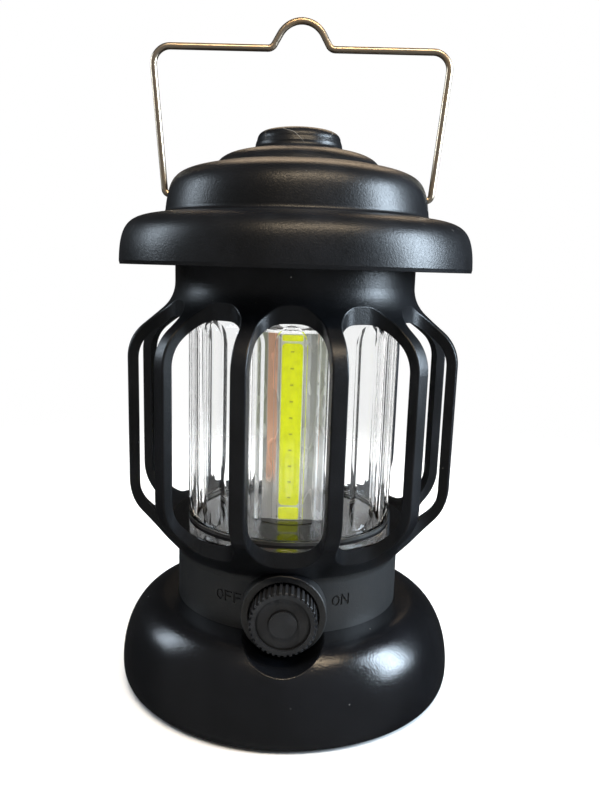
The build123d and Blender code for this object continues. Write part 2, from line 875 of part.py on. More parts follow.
with BuildPart() as chimney:
    with BuildSketch(Plane.XY.offset(chimney_low_z)):
        Circle(chimney_radius)
    extrude(amount=chimney_top_z - chimney_low_z)
    fillet(chimney.edges().group_by(Axis.Z)[0], chimney_edge_round)
    with PolarLocations(flute_axis_radius, flute_count, start_angle=-90):
        with Locations((0, 0, flute_middle_z)):
            Cylinder(flute_round, flute_high_z - flute_low_z, mode=Mode.SUBTRACT)
        with Locations((0, 0, flute_low_z), (0, 0, flute_high_z)):
            Sphere(flute_round, mode=Mode.SUBTRACT)
    add(chimney_bore.part, mode=Mode.SUBTRACT)
chimney.part.label = "chimney"
export_step(chimney.part, "parts/chimney.step")

with BuildPart() as chimney_gasket:
    with BuildSketch(Plane.XY.offset(deck_z)):
        Circle(chimney_radius)
        Circle(chimney_radius - chimney_wall - 0.4, mode=Mode.SUBTRACT)
    extrude(amount=gasket_thickness)
chimney_gasket.part.label = "chimney_gasket"
export_step(chimney_gasket.part, "parts/chimney_gasket.step")

with BuildPart() as chimney_cap:
    with BuildSketch(Plane.XY.offset(chimney_top_z)):
        Circle(upper_bore_radius - seat_gap)
    extrude(amount=1.6)
    with BuildSketch(Plane.XY.offset(chimney_top_z)):
        Circle(chimney_radius - chimney_wall - seat_gap)
        Circle(chimney_radius - chimney_wall - seat_gap - 1.2, mode=Mode.SUBTRACT)
    extrude(amount=-2.0)
chimney_cap.part.label = "chimney_cap"
export_step(chimney_cap.part, "parts/chimney_cap.step")

with BuildPart() as lamp_tube:
    with BuildSketch(Plane.XY.offset(deck_z)):
        Circle(tube_radius)
    extrude(amount=tube_height)
    fillet(lamp_tube.edges().group_by(Axis.Z)[-1], 0.6)
    with BuildSketch(Plane.XY.offset(deck_z)):
        Circle(tube_radius - tube_wall)
    extrude(amount=tube_height - tube_wall, mode=Mode.SUBTRACT)
lamp_tube.part.label = "lamp_tube"
export_step(lamp_tube.part, "parts/lamp_tube.step")

with BuildPart() as reflector_column:
    with BuildSketch(Plane.XY.offset(deck_z)):
        RegularPolygon(column_face_distance, 3, rotation=-30, major_radius=False)
        Circle(column_tip_radius, mode=Mode.INTERSECT)
        RegularPolygon(
            column_face_distance - column_wall, 3, rotation=-30, major_radius=False, mode=Mode.SUBTRACT
        )
    extrude(amount=column_height)
reflector_column.part.label = "reflector_column"
export_step(reflector_column.part, "parts/reflector_column.step")

phosphor_low_z = deck_z + phosphor_rise
phosphor_high_z = phosphor_low_z + phosphor_length
board_low_z = deck_z + seat_gap
board_high_z = board_low_z + board_length
phosphor_spans = (
    (board_low_z + phosphor_margin, phosphor_low_z - phosphor_dam, phosphor_end_corner),
    (phosphor_low_z, phosphor_high_z, phosphor_corner),
    (phosphor_high_z + phosphor_dam, board_high_z - phosphor_margin, phosphor_end_corner),
)
for number in range(3):
    turned = 120 * number
    outwards = Vector(sin(radians(turned)), -cos(radians(turned)), 0)
    sideways = Vector(cos(radians(turned)), sin(radians(turned)), 0)
    face_plane = Plane(origin=outwards * column_face_distance, x_dir=sideways, z_dir=outwards)
    with BuildPart() as cob_board:
        with BuildSketch(face_plane):
            with Locations((0, (board_low_z + board_high_z) / 2)):
                Rectangle(board_width, board_length)
        extrude(amount=board_thickness)
    cob_board.part.label = f"cob_board_{number + 1}"
    export_step(cob_board.part, f"parts/cob_board_{number + 1}.step")
    with BuildPart() as cob_phosphor:
        for low_z, high_z, corner in phosphor_spans:
            with BuildSketch(face_plane.offset(board_thickness)):
                with Locations((0, (low_z + high_z) / 2)):
                    RectangleRounded(phosphor_width, high_z - low_z, corner)
            extrude(amount=phosphor_thickness)
        fillet(cob_phosphor.faces().group_by(Axis((0, 0, 0), outwards))[-1].edges(), 0.2)
    cob_phosphor.part.label = f"cob_phosphor_{number + 1}"
    export_step(cob_phosphor.part, f"parts/cob_phosphor_{number + 1}.step")

# ---------------------------------------------------------------- dimmer and driver

driver_z = deck_low_z - 4.5
driver_thickness = 1.6
driver_radius = skirt_radius - skirt_wall - 0.4

with BuildPart() as driver_board:
    with BuildSketch(Plane.XY.offset(driver_z)):
        Circle(driver_radius)
    extrude(amount=driver_thickness)
    with BuildSketch(Plane.XY.offset(driver_z)):
        with Locations((11.0, -3.0)):
            Circle(3.6)
        with Locations((-9.0, 4.0)):
            Rectangle(6.0, 5.0)
        with Locations((-8.0, -9.0)):
            Circle(2.5)
    extrude(amount=-2.2)
driver_board.part.label = "driver_board"
export_step(driver_board.part, "parts/driver_board.step")

with BuildPart() as lamp_pins:
    with BuildSketch(Plane.XY.offset(driver_z + driver_thickness)):
        with Locations(*pin_points):
            Circle(pin_radius)
    extrude(amount=deck_z + 3.0 - driver_z - driver_thickness)
lamp_pins.part.label = "lamp_pins"
export_step(lamp_pins.part, "parts/lamp_pins.step")

lead_radius = 0.6
tray_top_z = tray_roof_z + tray_roof_thickness
for name, (x, y) in zip(("lead_positive", "lead_negative"), lead_points):
    bend_z = (tray_top_z + driver_z) / 2
    with BuildPart() as lead:
        with BuildLine() as lead_line:
            FilletPolyline(
                (x, y, tray_top_z),
                (x, y, bend_z - 4),
                (x * 1.4, y - 6, bend_z + 4),
                (x * 1.4, y - 6, driver_z),
                radius=4.0,
            )
        with BuildSketch(Plane.XY.offset(tray_top_z)):
            with Locations((x, y)):
                Circle(lead_radius)
        sweep(path=lead_line.line)
    lead.part.label = name
    export_step(lead.part, f"parts/{name}.step")

dimmer_front = neck_bore_radius - 1.4
nut_start = boss_floor + seat_gap
bushing_front = nut_start + nut_thickness + 0.3
shaft_back = dimmer_front - 3.5
knob_back = boss_floor + 0.8
knob_front = knob_back + knob_length
hub_back = bushing_front + moving_gap
shaft_front = knob_front - 2.0

with BuildPart() as dimmer:
    with BuildSketch(knob_axis_plane.offset(dimmer_front - dimmer_depth)):
        Circle(dimmer_radius)
    extrude(amount=dimmer_depth)
    with BuildSketch(knob_axis_plane.offset(dimmer_front)):
        Circle(bushing_radius)
    extrude(amount=bushing_front - dimmer_front)
    with BuildSketch(knob_axis_plane.offset(shaft_back - moving_gap)):
        Circle(shaft_radius + running_gap)
    extrude(amount=bushing_front, mode=Mode.SUBTRACT)
dimmer.part.label = "dimmer"
export_step(dimmer.part, "parts/dimmer.step")

with BuildPart() as dimmer_nut:
    with BuildSketch(knob_axis_plane.offset(nut_start)):
        RegularPolygon(nut_flats / 2, 6, major_radius=False)
        Circle(bushing_radius + thread_gap, mode=Mode.SUBTRACT)
    extrude(amount=nut_thickness)
dimmer_nut.part.label = "dimmer_nut"
export_step(dimmer_nut.part, "parts/dimmer_nut.step")

with BuildPart() as knob_shaft:
    with BuildSketch(knob_axis_plane.offset(shaft_back)):
        Circle(shaft_radius)
    extrude(amount=hub_back - shaft_back)
    with BuildSketch(knob_axis_plane.offset(hub_back)):
        Circle(shaft_radius)
        with Locations((0, shaft_flat + shaft_radius)):
            Rectangle(2 * shaft_radius, 2 * shaft_radius, mode=Mode.SUBTRACT)
    extrude(amount=shaft_front - hub_back)
knob_shaft.part.label = "knob_shaft"
export_step(knob_shaft.part, "parts/knob_shaft.step")

knob_hollow_radius = knob_dish_radius - 0.2
hub_radius = shaft_radius + 1.5
knob_face = 3.0

with BuildPart() as dimmer_knob:
    with BuildSketch(knob_axis_plane.offset(knob_back)):
        Circle(knob_radius)
    extrude(amount=knob_length)
    fillet(dimmer_knob.faces().sort_by(Axis.Y)[0].edges(), knob_edge_round)
    with BuildSketch(knob_axis_plane.offset(knob_front)):
        Circle(knob_dish_radius)
        Circle(knob_button_radius, mode=Mode.SUBTRACT)
    extrude(amount=-knob_dish_depth, mode=Mode.SUBTRACT)
    with BuildSketch(knob_axis_plane.offset(knob_back)):
        with PolarLocations(knob_radius, knob_teeth):
            RectangleRounded(2 * knob_tooth_depth, knob_groove_width, knob_groove_round)
    extrude(amount=knob_length, mode=Mode.SUBTRACT)
    with BuildSketch(knob_axis_plane.offset(knob_back)):
        Circle(knob_hollow_radius)
    extrude(amount=hub_back - knob_back, mode=Mode.SUBTRACT)
    with BuildSketch(knob_axis_plane.offset(hub_back)):
        Circle(knob_hollow_radius)
        Circle(hub_radius, mode=Mode.SUBTRACT)
    extrude(amount=knob_front - knob_face - hub_back, mode=Mode.SUBTRACT)
    with BuildSketch(knob_axis_plane.offset(hub_back)):
        Circle(shaft_radius + 0.02)
        with Locations((0, shaft_flat + 0.02 + shaft_radius)):
            Rectangle(2 * shaft_radius, 2 * shaft_radius, mode=Mode.SUBTRACT)
    extrude(amount=shaft_front + 0.1 - hub_back, mode=Mode.SUBTRACT)
dimmer_knob.part.label = "dimmer_knob"
export_step(dimmer_knob.part, "parts/dimmer_knob.step")
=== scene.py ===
"""Camping lantern: the finishes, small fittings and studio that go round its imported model.

The model is loaded as a fixed frame, in metres, with +Z up and the floor at z = 0. Each operator below
paints or builds one group of pieces, and the panel in the 3D view's sidebar lists them.
"""

import math

import bpy
import numpy as np
from mathutils import Matrix, Vector


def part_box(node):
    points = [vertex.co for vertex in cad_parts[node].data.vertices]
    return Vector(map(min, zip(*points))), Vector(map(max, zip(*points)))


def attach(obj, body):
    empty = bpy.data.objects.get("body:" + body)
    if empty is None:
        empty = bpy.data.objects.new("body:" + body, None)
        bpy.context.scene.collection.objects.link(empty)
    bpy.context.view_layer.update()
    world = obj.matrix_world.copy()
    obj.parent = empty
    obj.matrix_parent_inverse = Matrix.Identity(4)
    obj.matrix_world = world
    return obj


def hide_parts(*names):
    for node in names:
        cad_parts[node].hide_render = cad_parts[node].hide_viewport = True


bl_info = {
    "name": "Camping lantern finishes",
    "version": (1, 0, 0),
    "blender": (4, 5, 0),
    "location": "3D View > Sidebar > Lantern",
    "description": "Finishes, small fittings and a studio for the camping lantern",
    "category": "Object",
}

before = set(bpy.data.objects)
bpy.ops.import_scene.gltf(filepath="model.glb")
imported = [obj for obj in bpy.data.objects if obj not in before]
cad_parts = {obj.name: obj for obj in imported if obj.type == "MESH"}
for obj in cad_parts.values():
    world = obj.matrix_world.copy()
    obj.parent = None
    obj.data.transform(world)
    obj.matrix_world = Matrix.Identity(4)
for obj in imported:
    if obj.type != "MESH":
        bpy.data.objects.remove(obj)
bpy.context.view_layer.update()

MM = 0.001
LAMP_SIDES = 3
CELL_COUNT = 3

# Heights above the floor and sizes in millimetres, where a finish changes on a piece
NECK_TOP = 42.0
ROOF_FOOT = 126.0
KNOB_HEIGHT = 32.2
DISH_RADIUS = 6.75
BUTTON_RADIUS = 3.75
CELL_SLEEVE = 22.4
LOW_FIELD, HIGH_FIELD = 4.05, 2.45

DUST_COLOUR = (0.30, 0.29, 0.27)
NECK_COLOUR = (0.0165, 0.017, 0.0175)


# ---------------------------------------------------------------- shader maths


class Number:
    """A socket that carries a number. Python's operators on it add the Math nodes that work it out."""

    def __init__(self, finish, socket):
        self.finish = finish
        self.socket = socket

    def _math(self, operation, *terms):
        return self.finish.node("ShaderNodeMath", {"operation": operation}, dict(enumerate(terms)))

    def __add__(self, other):
        return self._math("ADD", self, other)

    def __radd__(self, other):
        return self._math("ADD", other, self)

    def __sub__(self, other):
        return self._math("SUBTRACT", self, other)

    def __rsub__(self, other):
        return self._math("SUBTRACT", other, self)

    def __mul__(self, other):
        return self._math("MULTIPLY", self, other)

    def __rmul__(self, other):
        return self._math("MULTIPLY", other, self)

    def __truediv__(self, other):
        return self._math("DIVIDE", self, other)

    def __rtruediv__(self, other):
        return self._math("DIVIDE", other, self)

    def __pow__(self, other):
        return self._math("POWER", self, other)

    def __abs__(self):
        return self._math("ABSOLUTE", self)

    def fraction(self):
        """What is left after whole steps are taken off."""
        return self._math("FRACT", self)

    def sine(self):
        return self._math("SINE", self)

    def greater(self, other):
        return self._math("MAXIMUM", self, other)

    def rise(self, start, end):
        """0 up to start, 1 from end on, with a smooth step between. It falls if start is above end."""
        settings = {"interpolation_type": "SMOOTHSTEP"}
        sockets = {"Value": self, "From Min": start, "From Max": end}
        return self.finish.node("ShaderNodeMapRange", settings, sockets)

    def band(self, middle, half, soft):
        """1 within half of middle, and 0 further away than half and soft together."""
        return abs(self - middle).rise(half + soft, half)


class Nodes:
    """An emptied node tree that one method adds nodes to."""

    def __init__(self, tree):
        self.tree = tree
        self.tree.nodes.clear()

    def node(self, kind, settings, sockets, output=0):
        """Adds a node, sets its settings first and then its sockets, and returns one of its outputs."""
        made = self.tree.nodes.new(kind)
        for key, value in settings.items():
            setattr(made, key, value)
        for key, value in sockets.items():
            self.feed(made.inputs[key], value)
        return Number(self, made.outputs[output]) if len(made.outputs) else None

    def feed(self, socket, value):
        """Links a Number to a socket, or sets the socket's own value."""
        if isinstance(value, Number):
            self.tree.links.new(value.socket, socket)
        elif socket.type == "RGBA":
            socket.default_value = (*value, 1.0)
        else:
            socket.default_value = value


class Finish(Nodes):
    """One material: its nodes, its shader and the few patterns that the lantern's surfaces are made of."""

    def __init__(self, name):
        self.material = bpy.data.materials.new(name)
        self.material.use_nodes = True
        super().__init__(self.material.node_tree)
        self.place = self.node("ShaderNodeTexCoord", {}, {}, "Object")

    def at(self, turn=(0, 0, 0), shift=(0, 0, 0), stretch=(1, 1, 1)):
        """The object's coordinates, turned by angles in radians, moved, and scaled on each axis."""
        sockets = {"Vector": self.place, "Location": shift, "Rotation": turn, "Scale": stretch}
        return self.node("ShaderNodeMapping", {}, sockets, "Vector")

    def axes(self, turn=(0, 0, 0)):
        """The three coordinates in millimetres, each as a Number."""
        split = self.node("ShaderNodeSeparateXYZ", {}, {"Vector": self.at(turn)})
        outputs = split.socket.node.outputs
        return [Number(self, outputs[axis]) / MM for axis in "XYZ"]

    def noise(self, size, detail=2.0, stretch=(1, 1, 1), shift=(0, 0, 0), rough=0.55):
        """Smooth cloudy noise from 0 to 1 whose features are about size millimetres across."""
        sockets = {
            "Vector": self.at(shift=shift, stretch=stretch),
            "Scale": 1 / (size * MM),
            "Detail": detail,
            "Roughness": rough,
        }
        return self.node("ShaderNodeTexNoise", {}, sockets, "Fac")

    def specks(self, spacing, radius, share, shift=(0, 0, 0)):
        """Small round spots, one in each cell of spacing millimetres, kept in only a share of the cells."""
        place = self.at(shift=shift)
        sockets = {"Vector": place, "Scale": 1 / (spacing * MM)}
        distance = self.node("ShaderNodeTexVoronoi", {}, sockets, "Distance")
        chance = self.node("ShaderNodeTexVoronoi", {}, sockets, "Color")
        split = self.node("ShaderNodeSeparateColor", {}, {"Color": chance}, "Red")
        return distance.rise(radius / spacing, 0.4 * radius / spacing) * split.rise(share, share - 0.02)

    def upward(self):
        """1 where the surface faces up and 0 where it is upright or faces down."""
        normal = self.node("ShaderNodeNewGeometry", {}, {}, "Normal")
        return self.node("ShaderNodeSeparateXYZ", {}, {"Vector": normal}, "Z").rise(0.2, 0.85)

    def mix(self, share, first, second):
        """One colour going over to another as share goes from 0 to 1."""
        return self.node("ShaderNodeMix", {"data_type": "RGBA"}, {"Factor": share, 6: first, 7: second}, 2)

    def relief(self, height, depth, strength=1.0, under=None):
        """A Bump node: height from 0 to 1 stands for depth millimetres."""
        sockets = {"Height": height, "Distance": depth * MM, "Strength": strength}
        if under is not None:
            sockets["Normal"] = under
        return self.node("ShaderNodeBump", {}, sockets, "Normal")

    def shade(self, **sockets):
        """The Principled shader on the output, with these sockets, underscores standing for spaces."""
        named = {key.replace("_", " "): value for key, value in sockets.items()}
        shader = self.node("ShaderNodeBsdfPrincipled", {}, named, "BSDF")
        self.node("ShaderNodeOutputMaterial", {}, {"Surface": shader})
        return self.material


def paint(material, *names):
    """Gives CAD nodes a finish, in the slots that they have."""
    for name in names:
        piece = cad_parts[name]
        for slot in piece.material_slots:
            slot.material = material


def settings():
    """The properties that the panel shows."""
    return bpy.context.scene.lantern


# ---------------------------------------------------------------- mesh from whole arrays


def grid_faces(rows, columns, close_rows=False, close_columns=False):
    """Quads over a grid of points kept row by row. Either direction can close on itself."""
    row = np.arange(rows if close_rows else rows - 1)
    column = np.arange(columns if close_columns else columns - 1)
    first, second = np.meshgrid(row, column, indexing="ij")
    next_row, next_column = (first + 1) % rows, (second + 1) % columns
    corners = [
        first * columns + second,
        first * columns + next_column,
        next_row * columns + next_column,
        next_row * columns + second,
    ]
    return np.stack(corners, axis=-1).reshape(-1, 4)


def piece_from(name, points, faces, material, body):
    """A smooth mesh piece at the origin, riding on a body, from arrays of points in metres and of faces."""
    mesh = bpy.data.meshes.new(name)
    mesh.from_pydata(points.tolist(), [], [list(face) for face in faces])
    mesh.polygons.foreach_set("use_smooth", np.ones(len(mesh.polygons), bool))
    mesh.materials.append(material)
    mesh.validate()
    mesh.update()
    made = bpy.data.objects.new(name, mesh)
    bpy.context.scene.collection.objects.link(made)
    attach(made, body)
    return made


def tube_along(path, radius, sides):
    """A round tube with domed ends: each point of the path carries a circle square to the path. Within one radius
    of an end, the circle's radius follows a quarter of a circle, so that the end closes to a dome."""
    count = len(path)
    along = np.gradient(path, axis=0)
    along /= np.linalg.norm(along, axis=1, keepdims=True)
    side = np.cross(along, np.array([0.31, 0.17, 0.94]))
    side /= np.linalg.norm(side, axis=1, keepdims=True)
    over = np.cross(along, side)
    step = np.linalg.norm(np.diff(path, axis=0), axis=1)
    travelled = np.concatenate([[0], np.cumsum(step)])
    near_end = np.minimum(travelled, travelled[-1] - travelled)
    swell = np.sqrt(np.clip(1 - (1 - np.clip(near_end / radius, 0, 1)) ** 2, 1e-4, 1)) * radius
    angle = np.arange(sides) * math.tau / sides
    circle = np.cos(angle)[None, :, None] * side[:, None] + np.sin(angle)[None, :, None] * over[:, None]
    points = (path[:, None] + swell[:, None, None] * circle).reshape(-1, 3)
    faces = [list(face) for face in grid_faces(count, sides, close_columns=True)]
    faces.append(list(range(sides))[::-1])
    faces.append(list(range((count - 1) * sides, count * sides)))
    return points, faces


def join_arrays(parts):
    """Several (points, faces) pairs as one pair."""
    points, faces, start = [], [], 0
    for some_points, some_faces in parts:
        points.append(some_points)
        faces += [[corner + start for corner in face] for face in some_faces]
        start += len(some_points)
    return np.concatenate(points), faces


# ---------------------------------------------------------------- properties


class LanternSettings(bpy.types.PropertyGroup):
    """Sizes and colours that a user would change."""

    shell_colour: bpy.props.FloatVectorProperty(
        name="Shell colour", description="Colour of the black plastic", subtype="COLOR", size=3,
        min=0, max=1, default=(0.0042, 0.0046, 0.0058),
    )
    grain_size: bpy.props.FloatProperty(
        name="Grain size", description="Width of the moulded grain on the satin parts, in millimetres",
        default=0.5, min=0.1, max=2,
    )
    knob_colour: bpy.props.FloatVectorProperty(
        name="Knob colour", description="Colour of the dimmer knob", subtype="COLOR", size=3,
        min=0, max=1, default=(0.012, 0.0125, 0.014),
    )
    phosphor_colour: bpy.props.FloatVectorProperty(
        name="Phosphor colour", description="Colour of the unlit light strips", subtype="COLOR", size=3,
        min=0, max=1, default=(0.56, 0.60, 0.0),
    )
    # Painted light: how strongly the unlit strips glow, standing in for light that reaches them through the clear
    # parts.
    phosphor_painted_glow: bpy.props.FloatProperty(
        name="Phosphor glow", description="How strongly the strips answer to daylight",
        default=0.9, min=0, max=20,
    )
    chips: bpy.props.IntProperty(
        name="Chips", description="Chips that show in each light strip", default=10, min=1, max=60,
    )
    wire_colour: bpy.props.FloatVectorProperty(
        name="Handle colour", description="Colour of the plated wire handle", subtype="COLOR", size=3,
        min=0, max=1, default=(0.60, 0.50, 0.38),
    )
    jacket_colour: bpy.props.FloatVectorProperty(
        name="Cell jacket colour", description="Colour of the cells' sleeves", subtype="COLOR", size=3,
        min=0, max=1, default=(0.02, 0.09, 0.16),
    )
    spring_turns: bpy.props.FloatProperty(
        name="Spring turns", description="Turns in each contact spring", default=4.5, min=2, max=8,
    )
    floor_colour: bpy.props.FloatVectorProperty(
        name="Floor colour", description="Colour of the studio floor", subtype="COLOR", size=3,
        min=0, max=1, default=(0.86, 0.86, 0.86),
    )
    window_power: bpy.props.FloatProperty(
        name="Window light", description="Power of the large cool light at the right",
        default=5.0, min=0, max=100,
    )


# ---------------------------------------------------------------- finishes


def satin_black(name):
    """Black plastic with a fine moulded grain, a little dust on what faces up, and a duller lower neck."""
    finish = Finish(name)
    s = settings()
    height = finish.axes()[2]
    grain = finish.noise(s.grain_size, 2.0)
    fine = finish.noise(s.grain_size * 0.45, 1.0, shift=(0.3, 0.1, 0.2))
    cloud = finish.noise(14.0, 3.0)
    neck = height.rise(NECK_TOP, NECK_TOP - 1.5)
    patches = finish.noise(9.0, 2.0, shift=(0.05, 0, 0)).rise(0.45, 0.58)
    dust = finish.specks(2.2, 0.2, 0.45) * patches * finish.upward()
    dust = dust.greater(finish.specks(6.0, 0.24, 0.4, shift=(0.2, 0.1, 0)))
    hair = abs(finish.noise(24.0, 2.0, shift=(0.7, 0.2, 0.1)) - 0.5).rise(0.0022, 0.0008)
    stray = finish.noise(30.0, 0.0, shift=(0.1, 0.8, 0.3)).rise(0.6, 0.64)
    stray = stray * height.rise(ROOF_FOOT, ROOF_FOOT + 4.0)
    dust = dust.greater(hair * stray * 0.8)
    dark = tuple(value * 0.72 for value in s.shell_colour)
    pale = tuple(value * 1.45 for value in s.shell_colour)
    body = finish.mix(cloud.rise(0.35, 0.7), dark, pale)
    body = finish.mix(neck, body, NECK_COLOUR)
    body = finish.mix(dust * 0.7, body, DUST_COLOUR)
    rough = 0.20 + 0.24 * grain + 0.05 * cloud + 0.14 * neck + 0.2 * dust
    normal = finish.relief(grain, 0.042, 1.0)
    normal = finish.relief(fine, 0.018, 1.0, under=normal)
    return finish.shade(Base_Color=body, Roughness=rough, Normal=normal, Specular_IOR_Level=0.38)


def gloss_black(name):
    """Glossier black plastic of the base, with a faint orange peel and fine bright specks."""
    finish = Finish(name)
    s = settings()
    grain = finish.noise(0.5, 2.0)
    peel = finish.noise(2.4, 1.0, shift=(0.1, 0.2, 0.3))
    cloud = finish.noise(18.0, 3.0)
    dust = finish.specks(3.4, 0.2, 0.4) * finish.upward()
    dust = dust.greater(finish.specks(7.0, 0.24, 0.4, shift=(0.3, 0, 0)))
    dark = tuple(value * 0.55 for value in s.shell_colour)
    body = finish.mix(cloud.rise(0.3, 0.7), dark, s.shell_colour)
    body = finish.mix(dust * 0.5, body, (0.22, 0.21, 0.2))
    rough = 0.10 + 0.16 * grain + 0.05 * cloud + 0.2 * dust
    normal = finish.relief(peel, 0.02, 0.8)
    normal = finish.relief(grain, 0.055, 1.0, under=normal)
    return finish.shade(Base_Color=body, Roughness=rough, Normal=normal, Specular_IOR_Level=0.5)


def deck_black(name):
    """Glossy black disc under the lamp, with fine specks lying on it."""
    finish = Finish(name)
    grain = finish.noise(0.7, 2.0)
    dust = finish.specks(1.7, 0.10, 0.45).greater(finish.specks(4.0, 0.2, 0.3, shift=(0.1, 0.3, 0)))
    body = finish.mix(dust * 0.6, (0.003, 0.003, 0.0035), DUST_COLOUR)
    return finish.shade(
        Base_Color=body,
        Roughness=0.03 + 0.04 * grain + 0.4 * dust,
        Normal=finish.relief(dust, 0.05),
        Specular_IOR_Level=0.4,
    )


def matte_black(name):
    """Plain black plastic of the inner parts, with a coarse spark-eroded grain."""
    finish = Finish(name)
    grain = finish.noise(0.6, 3.0)
    cloud = finish.noise(11.0, 2.0)
    body = finish.mix(cloud, (0.011, 0.011, 0.012), (0.024, 0.024, 0.026))
    normal = finish.relief(grain, 0.05, 0.8)
    return finish.shade(Base_Color=body, Roughness=0.5 + 0.14 * grain, Normal=normal)


def knob_plastic(name):
    """Dark grey satin plastic with fine grain, turned marks, dust specks and painted shade in the grooves of the
    face.
    """
    finish = Finish(name)
    s = settings()
    x, y, z = finish.axes()
    height = z - KNOB_HEIGHT
    radius = (x * x + height * height) ** 0.5
    grain = finish.noise(0.3, 2.0)
    cloud = finish.noise(5.0, 2.0)
    rings = (radius * 14.0).sine() * 0.5 + 0.5
    face = radius.rise(7.6, 7.2)
    pale = tuple(value * 1.6 for value in s.knob_colour)
    body = finish.mix(cloud.rise(0.4, 0.75), s.knob_colour, pale)
    dust = finish.specks(1.5, 0.09, 0.3)
    body = finish.mix(dust * 0.4, body, (0.2, 0.2, 0.19))
    normal = finish.relief(grain, 0.020, 1.0)
    normal = finish.relief(rings * face, 0.003, 0.6, under=normal)
    # Painted shade: near-black rings on the front face, where the dish and the button sink into it.
    painted_groove_shade = radius.band(DISH_RADIUS, 0.16, 0.14).greater(radius.band(BUTTON_RADIUS, 0.12, 0.12))
    painted_groove_shade = painted_groove_shade * y.rise(-30.0, -36.0)
    body = finish.mix(painted_groove_shade * 0.8, body, (0.001, 0.001, 0.001))
    return finish.shade(Base_Color=body, Roughness=0.36 + 0.16 * grain, Normal=normal)


def clear_plastic(name, tint, ripple, bend):
    """Clear moulded plastic with slow flow waves and a few scuffs."""
    finish = Finish(name)
    flow = finish.noise(22.0, 1.0, stretch=(1, 1, 0.5))
    scuff = finish.noise(1.2, 3.0, stretch=(1, 1, 4)).rise(0.68, 0.8)
    normal = finish.relief(flow, ripple, 1.0)
    return finish.shade(
        Base_Color=finish.mix(flow, tint, (0.985, 0.99, 0.99)),
        Roughness=0.008 + 0.10 * scuff,
        Normal=normal,
        IOR=bend,
        Transmission_Weight=1.0,
        Coat_Weight=0.55,
        Coat_Roughness=0.03,
    )


def reflector_film(name):
    """Aluminised film on each side of the reflector column, with a faint painted glow: an olive patch, a copper
    stripe (a painted reflection) and a pale foot left of the board; a dotted grey band and thin copper line right
    of it."""
    finish = Finish(name)
    body, dark = (0.80, 0.80, 0.78), (0.26, 0.26, 0.22)
    copper, olive, pale = (0.88, 0.50, 0.34), (0.42, 0.43, 0.33), (0.90, 0.88, 0.87)
    wander = finish.noise(9.0, 1.0, stretch=(1, 1, 0.5)) * 1.1 - 0.55
    streak = finish.noise(2.2, 2.0, stretch=(1, 1, 0.08), shift=(0.1, 0.5, 0.2)).rise(0.35, 0.65)
    dents = finish.noise(5.5, 2.0, stretch=(1, 1, 0.45))
    crease = abs(finish.noise(3.6, 1.0, stretch=(1, 1, 0.22), shift=(0.2, 0, 0)) - 0.5).rise(0.0, 0.05)
    body = finish.mix(streak * 0.35, body, dark)
    dots = 0.0
    for side in range(LAMP_SIDES):
        x, y, z = finish.axes((0, 0, -side * math.tau / LAMP_SIDES))
        facing = y.rise(-2.0, -4.5)
        place = x + wander
        height = z + wander * 4
        body = finish.mix(place.band(-7.9, 1.0, 0.4) * height.rise(72.0, 78.0) * facing, body, olive)
        body = finish.mix(place.band(-7.2, 0.8, 0.4) * height.band(67.0, 5.0, 4.0) * facing * 0.7, body, dark)
        # Painted reflection: a copper-toned stripe standing in for a warm thing mirrored in the film.
        body = finish.mix(place.band(-5.3, 1.15, 0.25) * height.rise(57.0, 64.0) * facing, body, copper)
        body = finish.mix(place.band(6.0, 0.7, 0.3) * facing * 0.6, body, dark)
        body = finish.mix(place.band(7.3, 0.14, 0.12) * facing * 0.8, body, copper)
        body = finish.mix(height.rise(62.0, 56.0) * facing * 0.7, body, pale)
        dots = dots + ((x * 5.2).sine() * (z * 5.2).sine()).rise(0.2, 0.9) * facing * place.rise(4.5, 5.2)
    normal = finish.relief(dents, 0.3, 1.0)
    normal = finish.relief(crease, 0.05, 0.8, under=normal)
    normal = finish.relief(dots, 0.012, 0.6, under=normal)
    return finish.shade(
        Base_Color=body, Metallic=0.42, Roughness=0.2 + 0.12 * (1 - crease) + 0.05 * dents, Normal=normal,
        # Painted light: the film glows faintly in its own colours, though it is no lamp.
        Emission_Color=body, Emission_Strength=0.2,
    )


def phosphor(name, turn):
    """Yellow silicone over the chips of one light strip. The chips show as a row of small dark ticks."""
    finish = Finish(name)
    s = settings()
    x, z = finish.axes((0, 0, turn))[::2]
    low, high = (corner[2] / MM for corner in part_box("cob_phosphor_1"))
    first, last = low + LOW_FIELD, high - HIGH_FIELD
    pitch = (last - first) / s.chips
    step = ((z - first) / pitch).fraction()
    tick = step.band(0.5, 0.03, 0.035) * x.band(0.0, 0.42, 0.16)
    tick = tick * z.band((first + last) / 2, (last - first) / 2, 0.1)
    edge = abs(x).rise(2.3, 3.1)
    mottle = finish.noise(1.6, 2.0)
    deep = tuple(value * 0.80 for value in s.phosphor_colour)
    body = finish.mix(mottle.rise(0.3, 0.7) * 0.5 + edge * 0.5, s.phosphor_colour, deep)
    body = finish.mix(tick * 0.65, body, (0.16, 0.17, 0.01))
    normal = finish.relief(finish.noise(0.9, 2.0), 0.03, 1.0)
    return finish.shade(
        Base_Color=body,
        Roughness=0.34 + 0.12 * mottle,
        Normal=normal,
        Specular_IOR_Level=0.25,
        # Painted light: the unlit strip glows in its own colour, though it is no lamp.
        Emission_Color=body,
        Emission_Strength=s.phosphor_painted_glow,
    )


